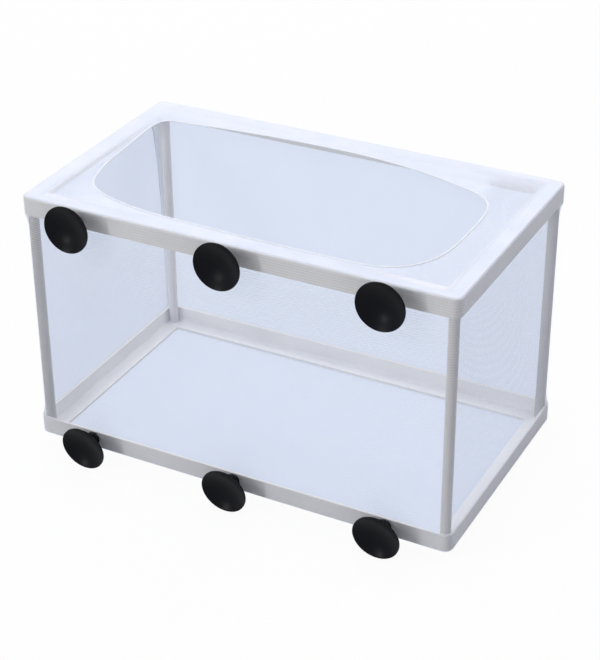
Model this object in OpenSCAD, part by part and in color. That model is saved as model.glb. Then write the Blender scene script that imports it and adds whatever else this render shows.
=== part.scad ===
// Net breeding box for small fish: two plastic ring frames held apart by four corner
// posts, a fine net bag drawn over them with an elastic opening in its top, and six
// rubber suction cups along one long side.
// Millimetres, +Z up. The origin is the centre of the box on the underside of its net floor.
// The side with the cups faces -Y.

/* [Rings] */
// Outside length of the rings
ring_l = 265; // [220:1:360]
// Outside width of the rings
ring_w = 152; // [120:1:220]
// Height from the lower ring's underside to the upper ring's top
frame_h = 156; // [100:1:240]
// Height of a ring's outer wall
rail_h = 10.8; // [10:0.2:16]
// Thickness of a ring's outer wall
rail_wall = 1.6; // [1.2:0.1:2]
// Width of a ring's inward flange, from the outer face
flange_w = 11; // [9.5:0.5:14]
// Thickness of a ring's flange
flange_t = 1.6; // [1.2:0.1:2]
// Outside radius of a ring's corners
corner_r = 5; // [3:0.5:8]
// Radius of the opening's corners in a flange
flange_r = 2; // [1:0.5:5]
// Rounding of the edge between a wall and its flange
edge_r = 1.1; // [0.4:0.1:1.2]

/* [Posts] */
// Outside diameter of a corner post
post_d = 6; // [5.4:0.1:7]
// Bore of a corner post
post_bore = 4; // [3:0.1:4.4]
// Gap between a post and the wall beside it
post_gap = 0.2; // [0.1:0.05:0.5]
// Height of the peg that holds a post
peg_h = 8; // [5:0.5:12]
// Radial clearance of a peg in its post
peg_fit = 0.05; // [0.02:0.01:0.1]

/* [Net] */
// Thickness of the net
net_t = 0.4; // [0.3:0.05:0.5]
// Width of the folded seam at its upper end
seam_w = 7.5; // [6:0.5:12]
// Width of the folded seam at its lower end
seam_foot_w = 2; // [1.5:0.5:5]
// Thickness of the folded seam
seam_t = 0.8; // [0.6:0.1:1.2]

/* [Opening] */
// Diameter of the elastic in the opening's hem
elastic_d = 1; // [0.8:0.1:2]
// Gap between the elastic and the hem that holds it
elastic_gap = 0.1; // [0.05:0.05:0.3]
// Thickness of the hem's folded net
hem_t = 0.3; // [0.2:0.05:0.5]
// Least distance of the elastic from the front face
hem_front = 12.5; // [12.5:0.1:20]
// Least distance of the elastic from the back face
hem_back = 18.3; // [14:0.1:24]
// Least distance of the elastic from the left face
hem_left = 17.5; // [15:0.1:24]
// Least distance of the elastic from the right face
hem_right = 25; // [20:0.1:36]

/* [Suction cups] */
// Diameter of a suction cup
cup_d = 28; // [24:1:32]
// Distance from the ring's face to the plane of a cup's rim
cup_reach = 12.5; // [12:0.5:16]
// Depth of a cup's hollow
cup_depth = 4.2; // [3:0.2:4.8]
// Thickness of a cup's disc at its lip
cup_lip = 0.8; // [0.6:0.1:1.2]
// Thickness of a cup's disc at its middle
cup_root = 3; // [2.4:0.2:3.4]
// Angle that the lower cups droop by
cup_droop = 5.5; // [0:0.5:6]
// Distance of the outer cups' axes from the rings' ends
cup_inset = 38.2; // [30:0.1:60]
// Height of a cup's axis above its ring's flange face
cup_axis_h = 6.8; // [6:0.1:6.8]
// Diameter of a cup's collar, which lies against the net
collar_d = 8.6; // [7.6:0.2:10]
// Height of a cup's collar
collar_h = 2.9; // [2:0.1:3.2]
// Diameter of the waist between a cup's collar and disc
waist_d = 6.6; // [5.8:0.2:7.4]
// Diameter of a cup's neck, where it passes through the wall
neck_d = 5; // [4:0.1:5.4]
// Diameter of the button behind the wall
button_d = 6.4; // [6.4:0.1:7.6]
// Length of the button behind the wall
button_h = 1; // [1:0.2:4]
// Radial clearance of a neck in its hole
neck_fit = 0.05; // [0.02:0.01:0.1]
// Clearance of a collar and a button from what they face
cup_play = 0.1; // [0.05:0.05:0.2]

/* [Hidden] */
$fn = 48;
half_l = ring_l / 2;
half_w = ring_w / 2;
lower_z = net_t;
upper_z = lower_z + frame_h;
wall_top_z = lower_z + rail_h;
wall_foot_z = upper_z - rail_h;
post_inset = rail_wall + post_gap + post_d / 2;
post_h = frame_h - 2 * flange_t;
hole_d = neck_d + 2 * neck_fit;
cup_xs = [cup_inset - half_l, 0, half_l - cup_inset];
lower_cup_z = lower_z + cup_axis_h;
upper_cup_z = upper_z - cup_axis_h;
hem_r = elastic_d / 2 + elastic_gap + hem_t;
hem_z = upper_z + net_t / 2;
hem_steps = 5;
tube_sides = 8;
arc_steps = 8;
disc_steps = 14;
cup_r = cup_d / 2;
collar_foot = net_t + cup_play;
collar_top = collar_foot + collar_h;
button_top = -rail_wall - cup_play;
hollow_r = (cup_r * cup_r + cup_depth * cup_depth) / (2 * cup_depth);
overlap = 0.01;

// Route of the elastic: points [x, y] counter-clockwise from the front left corner
hem_route = [
    [-half_l + hem_left + 14.5, -half_w + hem_front + 15.5],
    [-half_l + hem_left + 46.5, -half_w + hem_front + 4],
    [-ring_l * 0.077, -half_w + hem_front + 0.7],
    [ring_l * 0.14, -half_w + hem_front],
    [half_l - hem_right - 26, -half_w + hem_front + 2.4],
    [half_l - hem_right - 5, -half_w + hem_front + 20.7],
    [half_l - hem_right, -ring_w * 0.06],
    [half_l - hem_right - 4.2, half_w - hem_back - 26.6],
    [half_l - hem_right - 31.7, half_w - hem_back - 11.4],
    [ring_l * 0.097, half_w - hem_back - 0.7],
    [-ring_l * 0.145, half_w - hem_back],
    [-half_l + hem_left + 21.2, half_w - hem_back - 4.9],
    [-half_l + hem_left, half_w - hem_back - 11],
    [-half_l + hem_left + 0.1, ring_w * 0.078],
    [-half_l + hem_left + 3.8, -half_w + hem_front + 38.5]
];

// Point at t between p1 and p2 on the smooth curve through four points
function smooth(p0, p1, p2, p3, t) =
    0.5 * (2 * p1 + (p2 - p0) * t + (2 * p0 - 5 * p1 + 4 * p2 - p3) * t * t
        + (3 * p1 - p0 - 3 * p2 + p3) * t * t * t);

// Closed smooth curve through the points of a route
function closed_curve(route, steps) =
    let (n = len(route))
    [for (i = [0 : n - 1]) for (s = [0 : steps - 1])
        smooth(route[(i + n - 1) % n], route[i], route[(i + 1) % n], route[(i + 2) % n], s / steps)];

// Outward direction at each point of a closed counter-clockwise curve
function outward(curve) =
    let (n = len(curve))
    [for (i = [0 : n - 1])
        let (d = curve[(i + 1) % n] - curve[(i + n - 1) % n])
        [d[1], -d[0]] / norm(d)];

// A closed curve moved outward by a distance
function moved_out(curve, distance) =
    let (out = outward(curve))
    [for (i = [0 : len(curve) - 1]) curve[i] + out[i] * distance];

// Points of an arc about [cx, cy], from angle a to angle b
function arc(cx, cy, r, a, b) =
    [for (i = [0 : arc_steps]) let (t = a + (b - a) * i / arc_steps) [cx + r * cos(t), cy + r * sin(t)]];

// Flat rectangle with round corners, centred on the origin
module round_rectangle(length, width, r) {
    square([length - 2 * r, width], center = true);
    square([length, width - 2 * r], center = true);
    for (x = [-1, 1], y = [-1, 1])
        translate([x * (length / 2 - r), y * (width / 2 - r)])
            circle(r);
}

// Flat outline of the ring, drawn in from its outer face by inset
module ring_outline(inset) {
    round_rectangle(ring_l - 2 * inset, ring_w - 2 * inset, corner_r - inset);
}

// Section of a wall's rounded edge: x is the distance in from the outer face
module edge_section() {
    translate([edge_r, edge_r])
        circle(edge_r);
    translate([0, edge_r])
        square([rail_wall, rail_h - edge_r]);
}

// One straight wall along X, its outer face at y = 0, facing -Y
module straight_wall(length) {
    translate([-length / 2, 0, 0])
        rotate([90, 0, 90])
            linear_extrude(length)
                edge_section();
}

// One quarter of a round corner, its centre at the origin, facing -X and -Y
module corner_wall() {
    rotate([0, 0, 180])
        rotate_extrude(angle = 90)
            translate([corner_r, 0])
                mirror([1, 0])
                    edge_section();
}

// A ring with its flange down: walls, flange and the pegs for the posts
module ring_frame() {
    for (a = [0, 180])
        rotate([0, 0, a]) {
            translate([0, -half_w, 0])
                straight_wall(ring_l - 2 * corner_r);
            translate([half_l, 0, 0])
                rotate([0, 0, 90])
                    straight_wall(ring_w - 2 * corner_r);
            translate([-half_l + corner_r, -half_w + corner_r, 0])
                corner_wall();
            translate([half_l - corner_r, -half_w + corner_r, 0])
                rotate([0, 0, 90])
                    corner_wall();
        }
    linear_extrude(flange_t)
        difference() {
            ring_outline(edge_r);
            round_rectangle(ring_l - 2 * flange_w, ring_w - 2 * flange_w, flange_r);
        }
    for (x = [-1, 1], y = [-1, 1])
        translate([x * (half_l - post_inset), y * (half_w - post_inset), flange_t - overlap])
            cylinder(h = peg_h + overlap, d = post_bore - 2 * peg_fit);
}

// Holes in the front wall for the cups' necks, at height z
module cup_holes(z) {
    for (x = cup_xs)
        translate([x, -half_w - net_t - 1, z])
            rotate([-90, 0, 0])
                cylinder(h = net_t + rail_wall + 2, d = hole_d);
}

module lower_ring() {
    color("white")
        difference() {
            translate([0, 0, lower_z])
                ring_frame();
            cup_holes(lower_cup_z);
        }
}

module upper_ring() {
    color("white")
        difference() {
            translate([0, 0, upper_z])
                mirror([0, 0, 1])
                    ring_frame();
            cup_holes(upper_cup_z);
        }
}

// A corner post in the corner that the signs x and y name
module post(x, y) {
    color("whitesmoke")
        translate([x * (half_l - post_inset), y * (half_w - post_inset), lower_z + flange_t])
            difference() {
                cylinder(h = post_h, d = post_d);
                translate([0, 0, -1])
                    cylinder(h = post_h + 2, d = post_bore);
            }
}

module net_floor() {
    color("lavender")
        linear_extrude(net_t)
            ring_outline(0);
}

// A long net wall, its inner face on the rings' outer face at y = 0, facing -Y
module long_net() {
    translate([-half_l + corner_r, -net_t, 0])
        cube([ring_l - 2 * corner_r, net_t, upper_z + net_t]);
}

module net_front() {
    color("lavender")
        difference() {
            translate([0, -half_w, 0])
                long_net();
            cup_holes(lower_cup_z);
            cup_holes(upper_cup_z);
        }
}

module net_back() {
    color("lavender")
        rotate([0, 0, 180])
            translate([0, -half_w, 0])
                long_net();
}

// A short net wall at +X with its two turns round the rings' corners
module short_net() {
    linear_extrude(upper_z + net_t)
        intersection() {
            difference() {
                round_rectangle(ring_l + 2 * net_t, ring_w + 2 * net_t, corner_r + net_t);
                ring_outline(0);
            }
            translate([half_l - corner_r, -ring_w])
                square([corner_r + 2 * net_t, 2 * ring_w]);
        }
}

module net_right() {
    color("lavender")
        short_net();
}

module net_left() {
    color("lavender")
        mirror([1, 0, 0])
            short_net();
}

// Flat outline of the top opening, moved outward from the elastic by a distance
module opening_outline(distance) {
    polygon(moved_out(closed_curve(hem_route, hem_steps), distance));
}

// The net over the upper ring, open inside the hem
module net_top() {
    color("lavender")
        translate([0, 0, upper_z])
            linear_extrude(net_t)
                difference() {
                    ring_outline(0);
                    opening_outline(hem_r);
                }
}

// A square band along the opening, reaching r to each side of the elastic's middle
module opening_band(r) {
    translate([0, 0, hem_z - r])
        linear_extrude(2 * r)
            difference() {
                opening_outline(r);
                opening_outline(-r);
            }
}

// The hem: net folded round the channel that the elastic runs in
module opening_hem() {
    color("lavender")
        difference() {
            opening_band(hem_r);
            opening_band(hem_r - hem_t);
        }
}

// The net's folded seam, which starts behind the back left post and narrows downwards
module corner_seam() {
    color("lavender")
        translate([-half_l, half_w - corner_r, 0])
            rotate([90, 0, 90])
                linear_extrude(seam_t)
                    polygon([
                        [-seam_foot_w, wall_top_z + post_gap],
                        [0, wall_top_z + post_gap],
                        [0, wall_foot_z - post_gap],
                        [-seam_w, wall_foot_z - post_gap]
                    ]);
}

// The elastic in the opening's hem, one closed loop
module opening_elastic() {
    curve = closed_curve(hem_route, hem_steps);
    out = outward(curve);
    n = len(curve);
    r = elastic_d / 2;
    points = [for (i = [0 : n - 1]) for (k = [0 : tube_sides - 1])
        let (a = 360 * (k + 0.5) / tube_sides, p = curve[i] + out[i] * r * cos(a))
        [p[0], p[1], hem_z + r * sin(a)]];
    quads = [for (i = [0 : n - 1]) for (k = [0 : tube_sides - 1])
        let (j = (i + 1) % n, m = (k + 1) % tube_sides)
        [i * tube_sides + k, i * tube_sides + m, j * tube_sides + m, j * tube_sides + k]];
    faces = [for (q = quads) each [[q[0], q[1], q[2]], [q[0], q[2], q[3]]]];
    color("white")
        polyhedron(points = points, faces = faces);
}

// Distance of a cup's hollow from the ring's face, at radius x
function hollow_y(x) = cup_reach - cup_depth + hollow_r - sqrt(hollow_r * hollow_r - x * x);

// Distance of the back of a cup's disc from the ring's face, at radius x
function back_y(x) = hollow_y(x) - cup_lip - (cup_root - cup_lip) * pow(1 - x / cup_r, 1.5);

// Half section of a cup's stem: button, neck, collar and waist
module stem_section() {
    button_round = 0.8;
    collar_round = 0.9;
    polygon(concat(
        [[0, button_top - button_h]],
        arc(button_d / 2 - button_round, button_top - button_h + button_round, button_round, -90, 0),
        [[button_d / 2, button_top], [neck_d / 2, button_top], [neck_d / 2, collar_foot]],
        arc(collar_d / 2 - collar_round, collar_foot + collar_round, collar_round, -90, 0),
        arc(collar_d / 2 - collar_round, collar_top - collar_round, collar_round, 0, 90),
        [[waist_d / 2, collar_top], [waist_d / 2, back_y(waist_d / 2) + 0.5], [0, back_y(0) + 0.5]]
    ));
}

// Half section of a cup's disc: x is the radius, y the distance out from the ring's face
module disc_section() {
    root_x = waist_d / 2;
    root_h = 0.8;
    step = (cup_r - root_x) / disc_steps;
    polygon(concat(
        [[0, back_y(root_x) - root_h], [root_x, back_y(root_x) - root_h]],
        [for (i = [0 : disc_steps]) [root_x + i * step, back_y(root_x + i * step)]],
        [for (i = [0 : disc_steps]) let (x = cup_r * (1 - i / disc_steps)) [x, hollow_y(x)]]
    ));
}

// A suction cup with its axis at x and z, its disc drooping by an angle
module cup(x, z, droop) {
    pivot = collar_top;
    color([0.13, 0.13, 0.14])
        translate([x, -half_w, z])
            rotate([90, 0, 0]) {
                rotate_extrude()
                    stem_section();
                translate([0, 0, pivot])
                    rotate([droop, 0, 0])
                        translate([0, 0, -pivot])
                            rotate_extrude()
                                disc_section();
            }
}

lower_ring();
upper_ring();
post(-1, -1);  // post_front_left
post(1, -1);  // post_front_right
post(-1, 1);  // post_back_left
post(1, 1);  // post_back_right
net_floor();
net_front();
net_back();
net_left();
net_right();
net_top();
corner_seam();
opening_hem();
opening_elastic();
cup(cup_xs[0], upper_cup_z, 0);  // cup_upper_left
cup(cup_xs[1], upper_cup_z, 0);  // cup_upper_middle
cup(cup_xs[2], upper_cup_z, 0);  // cup_upper_right
cup(cup_xs[0], lower_cup_z, cup_droop);  // cup_lower_left
cup(cup_xs[1], lower_cup_z, cup_droop);  // cup_lower_middle
cup(cup_xs[2], lower_cup_z, cup_droop);  // cup_lower_right
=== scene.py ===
"""Net breeding box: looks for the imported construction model, in its own frame and in metres."""

import logging
import math
from dataclasses import dataclass, field
from enum import Enum
from typing import Any, Callable, Optional

import bpy
import numpy as np
from mathutils import Matrix, Vector


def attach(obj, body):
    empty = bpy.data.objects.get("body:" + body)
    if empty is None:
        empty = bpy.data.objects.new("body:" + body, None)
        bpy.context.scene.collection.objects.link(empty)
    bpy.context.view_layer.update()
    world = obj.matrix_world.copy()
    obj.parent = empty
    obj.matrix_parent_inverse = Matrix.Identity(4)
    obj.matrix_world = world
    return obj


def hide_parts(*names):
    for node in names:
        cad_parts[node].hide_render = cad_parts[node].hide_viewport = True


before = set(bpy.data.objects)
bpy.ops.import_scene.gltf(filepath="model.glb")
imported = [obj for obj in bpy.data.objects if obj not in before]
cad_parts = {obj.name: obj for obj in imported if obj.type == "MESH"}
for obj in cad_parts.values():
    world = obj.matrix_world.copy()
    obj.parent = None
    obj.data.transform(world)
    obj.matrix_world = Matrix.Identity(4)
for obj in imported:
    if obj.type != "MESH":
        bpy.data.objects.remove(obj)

Pair = tuple[float, float]
Triple = tuple[float, float, float]
Socket = bpy.types.NodeSocket

LOG = logging.getLogger("breeding_box")
MM = 0.001
TURN = 6.2832  # a full turn in radians, for the finishes' waves
WHITE: Triple = (1.0, 1.0, 1.0)
WEAVE = "weave"
FULLNESS = "fullness"
RIBS = "ribs"
STRAIGHT = 0.02  # a facing's part across a side, below which a column is on a straight run


# Shader expressions


def operator(operation: str, swapped: bool = False) -> Callable[["Num", Any], "Num"]:
    """Makes an operator that joins two numbers with a Math node.

    Args:
        operation: The Math node's operation.
        swapped: Whether the other number comes first.

    Returns:
        The operator.
    """

    def join(number: "Num", other: Any) -> "Num":
        """Adds the Math node for a number and the other one."""
        values = (other, number) if swapped else (number, other)
        return number.result(operation, *values)

    return join


class Num:
    """A number socket of a shader, which Python's operators join with Math nodes."""

    def __init__(self, tree: "NodeMaker", socket: Socket) -> None:
        """Keeps the tree and the output socket that carries the number."""
        self.tree = tree
        self.socket = socket

    def result(self, operation: str, *values: Any, clamp: bool = False) -> "Num":
        """Adds one Math node.

        Args:
            operation: The Math node's operation.
            values: Its inputs, each a Num or a number.
            clamp: Whether the result is held between 0 and 1.

        Returns:
            The node's result.
        """
        inputs = dict(enumerate(values))
        node = self.tree.add("ShaderNodeMath", inputs, operation=operation, use_clamp=clamp)
        return Num(self.tree, node.outputs[0])

    __add__ = operator("ADD")
    __radd__ = operator("ADD", swapped=True)
    __sub__ = operator("SUBTRACT")
    __rsub__ = operator("SUBTRACT", swapped=True)
    __mul__ = operator("MULTIPLY")
    __rmul__ = operator("MULTIPLY", swapped=True)
    __truediv__ = operator("DIVIDE")
    __gt__ = operator("GREATER_THAN")
    larger = operator("MAXIMUM")
    smaller = operator("MINIMUM")
    zigzag = operator("PINGPONG")

    def __abs__(self) -> "Num":
        """Size without the sign."""
        return self.result("ABSOLUTE", self)

    def sine(self) -> "Num":
        """Sine of the number."""
        return self.result("SINE", self)

    def root(self) -> "Num":
        """Square root of the number."""
        return self.result("SQRT", self)

    def wave(self) -> "Num":
        """Sine of the number, laid between 0 and 1."""
        return self.sine() * 0.5 + 0.5

    def even(self) -> "Num":
        """The number held between -1 and 1."""
        return self.larger(-1.0).smaller(1.0)

    def held(self) -> "Num":
        """The number held between 0 and 1."""
        return self.result("MULTIPLY", self, 1.0, clamp=True)

    def step(self, low: Any, high: Any) -> "Num":
        """Rises smoothly from 0 at low to 1 at high.

        Args:
            low: Where the rise starts.
            high: Where the rise ends.

        Returns:
            The smooth step.
        """
        inputs = {"Value": self, "From Min": low, "From Max": high}
        node = self.tree.add("ShaderNodeMapRange", inputs, interpolation_type="SMOOTHSTEP")
        return Num(self.tree, node.outputs[0])


class NodeMaker:
    """A material's, the world's or a modifier's nodes, made from expressions."""

    def __init__(self, tree: bpy.types.NodeTree) -> None:
        """Clears the node tree and keeps it."""
        self.tree = tree
        tree.nodes.clear()

    @classmethod
    def material(cls, name: str) -> tuple[bpy.types.Material, "NodeMaker"]:
        """Makes an empty material.

        Args:
            name: The material's name.

        Returns:
            The material and its nodes.
        """
        made = bpy.data.materials.new(name)
        made.use_nodes = True
        return made, cls(made.node_tree)

    def add(
        self, kind: str, inputs: Optional[dict[Any, Any]] = None, **settings: Any
    ) -> bpy.types.Node:
        """Adds a node, applies its settings and then its inputs.

        Args:
            kind: The node's type.
            inputs: Values or links by socket name or index.
            settings: The node's properties.

        Returns:
            The node.
        """
        node = self.tree.nodes.new(kind)
        for name, value in settings.items():
            setattr(node, name, value)
        for name, value in (inputs or {}).items():
            self._feed(node.inputs[name], value)
        return node

    def _feed(self, target: Socket, value: Any) -> None:
        """Links or sets one input.

        Args:
            target: The input's socket.
            value: A Num, an output socket, or a plain value.
        """
        if isinstance(value, Num):
            value = value.socket
        if isinstance(value, Socket):
            self.tree.links.new(value, target)
        elif target.type == "RGBA" and len(value) == 3:
            target.default_value = (*value, 1.0)
        else:
            target.default_value = value

    def place(self, scale: Triple = (1.0, 1.0, 1.0)) -> Socket:
        """Object coordinates, stretched by scale."""
        here = self.add("ShaderNodeTexCoord").outputs["Object"]
        return self.add("ShaderNodeMapping", {"Vector": here, "Scale": scale}).outputs[0]

    def parts(self, vector: Socket) -> tuple[Num, ...]:
        """A vector's three numbers."""
        split = self.add("ShaderNodeSeparateXYZ", {"Vector": vector})
        return tuple(Num(self, split.outputs[axis]) for axis in "XYZ")

    def weave(self) -> tuple[Num, ...]:
        """The piece's own UV map in metres, as two numbers."""
        return self.parts(self.add("ShaderNodeUVMap", uv_map=WEAVE).outputs["UV"])[:2]

    def attribute(self, name: str) -> Num:
        """A number that the mesh carries at its points."""
        node = self.add("ShaderNodeAttribute", attribute_name=name)
        return Num(self, node.outputs["Fac"])

    def noise(
        self, where: Socket, scale: float, detail: float = 2.0, roughness: float = 0.5
    ) -> Num:
        """Soft noise from 0 to 1.

        Args:
            where: Coordinates in metres.
            scale: Features per metre.
            detail: Octaves.
            roughness: Strength of the finer octaves.

        Returns:
            The noise.
        """
        inputs = {"Vector": where, "Scale": scale, "Detail": detail, "Roughness": roughness}
        return Num(self, self.add("ShaderNodeTexNoise", inputs).outputs["Fac"])

    def mix(self, share: Num, low: Any, high: Any) -> Socket:
        """Mixes two colours.

        Args:
            share: How much of high there is, from 0 to 1.
            low: The colour at 0.
            high: The colour at 1.

        Returns:
            The mixed colour.
        """
        inputs = {0: share, 6: low, 7: high}
        return self.add("ShaderNodeMix", inputs, data_type="RGBA").outputs[2]

    def bump(self, height: Num, distance: float, strength: float) -> Socket:
        """A normal tilted by a height.

        Args:
            height: The height, from 0 to 1.
            distance: What a height of 1 stands for, in metres.
            strength: How much of the tilt counts.

        Returns:
            The normal.
        """
        inputs = {"Height": height, "Distance": distance, "Strength": strength}
        return self.add("ShaderNodeBump", inputs).outputs["Normal"]

    def surface(self, shader: bpy.types.Node) -> None:
        """Joins a shader to the material's output."""
        self.add("ShaderNodeOutputMaterial", {"Surface": shader.outputs[0]})


# The box's own sizes


@dataclass(frozen=True)
class BoxSizes:
    """The construction model's sizes that the cloth and the trimmings follow."""

    ring_l: float = 265 * MM
    ring_w: float = 152 * MM
    frame_h: float = 156 * MM
    rail_h: float = 10.8 * MM
    flange_w: float = 11 * MM
    corner_r: float = 5 * MM
    edge_r: float = 1.1 * MM
    post_inset: float = 4.8 * MM
    net_t: float = 0.4 * MM

    @property
    def half_l(self) -> float:
        """Half of the rings' length."""
        return self.ring_l / 2

    @property
    def half_w(self) -> float:
        """Half of the rings' width."""
        return self.ring_w / 2

    @property
    def lower_z(self) -> float:
        """Underside of the lower ring, on the net's floor."""
        return self.net_t

    @property
    def upper_z(self) -> float:
        """Top of the upper ring."""
        return self.net_t + self.frame_h

    @property
    def wall_top_z(self) -> float:
        """Free edge of the lower ring's wall."""
        return self.lower_z + self.rail_h

    @property
    def wall_foot_z(self) -> float:
        """Free edge of the upper ring's wall."""
        return self.upper_z - self.rail_h


# Finishes


@dataclass(frozen=True)
class Finish:
    """A finish made of one surface shader."""

    name: str

    def inputs(self, tree: NodeMaker) -> dict[str, Any]:
        """The surface shader's inputs, which each finish makes in its own way."""
        raise NotImplementedError(self.name)

    def make(self) -> bpy.types.Material:
        """Builds the material.

        Returns:
            The finished material.
        """
        material, tree = NodeMaker.material(self.name)
        tree.surface(tree.add("ShaderNodeBsdfPrincipled", self.inputs(tree)))
        return material


@dataclass(frozen=True)
class MouldedPlastic(Finish):
    """Satin white injection-moulded plastic with faint flow marks and handling scuffs."""

    colour: Triple = (0.78, 0.76, 0.755)
    shade: Triple = (0.72, 0.70, 0.695)
    roughness: float = 0.40
    flow: Triple = (0.25, 1.0, 1.0)
    scuff_flow: Triple = (1.0, 1.0, 0.15)
    streaks_per_m: float = 60.0
    blotches_per_m: float = 22.0
    scuffs_per_m: float = 700.0
    grains_per_m: float = 2600.0
    specular: float = 0.35
    relief: float = 0.04 * MM
    tone_span: Pair = (0.3, 0.7)
    rub_span: Pair = (0.60, 0.74)
    blotch_dulling: float = 0.10
    rub_dulling: float = 0.16

    def _skin(self, tree: NodeMaker, tone: Num) -> Socket:
        """The plastic's colour, with its moulding tone."""
        return tree.mix(tone, self.shade, self.colour)

    def inputs(self, tree: NodeMaker) -> dict[str, Any]:
        """Makes the shader's inputs.

        Args:
            tree: The material's nodes.

        Returns:
            Values and links by input.
        """
        here = tree.place()
        streaks = tree.noise(tree.place(self.flow), self.streaks_per_m, 3.0)
        blotches = tree.noise(here, self.blotches_per_m)
        scuffs = tree.noise(tree.place(self.scuff_flow), self.scuffs_per_m, 3.0, 0.6)
        grain = tree.noise(here, self.grains_per_m)
        tone = (streaks * 0.5 + blotches * 0.5).step(*self.tone_span)
        dull = self.blotch_dulling * blotches + self.rub_dulling * scuffs.step(*self.rub_span)
        return {
            "Base Color": self._skin(tree, tone),
            "Roughness": self.roughness + dull,
            "Specular IOR Level": self.specular,
            "Normal": tree.bump(grain * 0.6 + streaks * 0.4, self.relief, 0.5),
        }


@dataclass(frozen=True)
class RingPlastic(MouldedPlastic):
    """The rings' plastic, with painted light and shade: lighter on the inner faces, as lit inside
    the box, and greyer on the outer walls, as shaded.
    """

    # painted light: the inner colours are lighter than the outer walls' colour, as lit inside the
    # box
    inner: Triple = (0.95, 0.95, 0.97)
    inner_shade: Triple = (0.90, 0.90, 0.92)
    sizes: BoxSizes = BoxSizes()
    shaded_outer_depth: float = 0.9 * MM
    shaded_outer_edge: Pair = (-0.2 * MM, 0.3 * MM)

    def _skin(self, tree: NodeMaker, tone: Num) -> Socket:
        """The lighter inner colour, which is painted light, and the greyer outer one on the walls'
        outer faces, which is painted shade.

        Args:
            tree: The material's nodes.
            tone: The moulding tone, from 0 to 1.

        Returns:
            The colour.
        """
        s = self.sizes
        x, y = (abs(part) for part in tree.parts(tree.place())[:2])
        over_x = (x - (s.half_l - s.corner_r)).larger(0.0)
        over_y = (y - (s.half_w - s.corner_r)).larger(0.0)
        out = (over_x * over_x + over_y * over_y).root() - (s.corner_r - self.shaded_outer_depth)
        # painted light and shade: lighter inside the ring, greyer on the outer faces
        inner = tree.mix(tone, self.inner_shade, self.inner)
        return tree.mix(out.step(*self.shaded_outer_edge), inner, tree.mix(tone, self.shade, self.colour))


@dataclass(frozen=True)
class KnittedNet(Finish):
    """Warp-knitted net: threads that zigzag and join their neighbours, with open cells between.

    The mesh's attributes say how much of the net is thread, and how strongly its ribs show. The
    ribs' threads are thicker, but less so in dense net, and the least swell may make them thinner.
    """

    colour: Triple = (0.97, 1.0, 1.0)
    shade: Triple = (0.44, 0.53, 0.84)
    thread_gap: float = 0.41 * MM
    cell_rise: float = 0.50 * MM
    rib_rise: float = 1.6 * MM
    ply: float = 0.09 * MM
    thread_half: float = 0.45
    slack_half: float = 0.1
    yarn_edge: Pair = (0.75, 1.25)
    zig: float = 1.7
    rib: float = 2.59
    rib_edge: float = 1.6
    dense_loss: float = 3.41
    swell: float = -0.3
    speckle: float = 0.2
    contrast: float = 5.0
    slack_per_m: float = 55.0
    speckles_per_m: float = 1100.0
    thinnest: float = 0.01
    roughness: float = 0.55
    relief: float = 0.04 * MM

    def inputs(self, tree: NodeMaker) -> dict[str, Any]:
        """Makes the shader's inputs.

        Args:
            tree: The material's nodes.

        Returns:
            Values and links by input.
        """
        u, v = tree.weave()
        full, ribs = tree.attribute(FULLNESS), tree.attribute(RIBS)
        slack = tree.noise(tree.place(), self.slack_per_m)
        grain = tree.noise(tree.place(), self.speckles_per_m, 2.0, 0.6)
        grain = grain * self.contrast - self.contrast / 2
        rows = ((v * (TURN / self.rib_rise)).sine() * self.rib_edge).even()
        rows = (rows * ribs + grain * self.speckle * (1.0 - full)).even()
        thin = (1.0 - full * self.dense_loss).larger(self.swell)
        half = full + full.smaller(1.0 - full) * self.rib * thin * rows
        half = (half * (self.thread_half + self.slack_half * slack)).larger(self.thinnest)
        across = (u / self.thread_gap).zigzag(1.0)
        up = (v / self.cell_rise).zigzag(1.0) * 2.0 - 1.0
        swing = (up * self.zig).even() * (0.5 - 0.5 * full)
        away = abs(across - 0.5 - swing)
        gap = away.step(*(half * edge for edge in self.yarn_edge))
        yarn = (1.0 - away / half).held()
        twist = ((u + v) * (TURN / self.ply)).wave()
        # painted highlight and shade: lighter on the ribs' crests, darker in the troughs between
        # them and between the plies where the twist is low; the slack is random tone
        tone = slack * 0.2 + twist * 0.1 + (rows * 0.5 + 0.5) * 0.7
        return {
            "Base Color": tree.mix(tone, self.shade, self.colour),
            "Roughness": self.roughness + 0.1 * twist,
            "Alpha": 1.0 - gap,
            "Specular IOR Level": 0.3,
            "Sheen Weight": 0.15,
            "Normal": tree.bump(yarn * 0.8 + twist * 0.2, self.relief, 0.6),
        }


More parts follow.
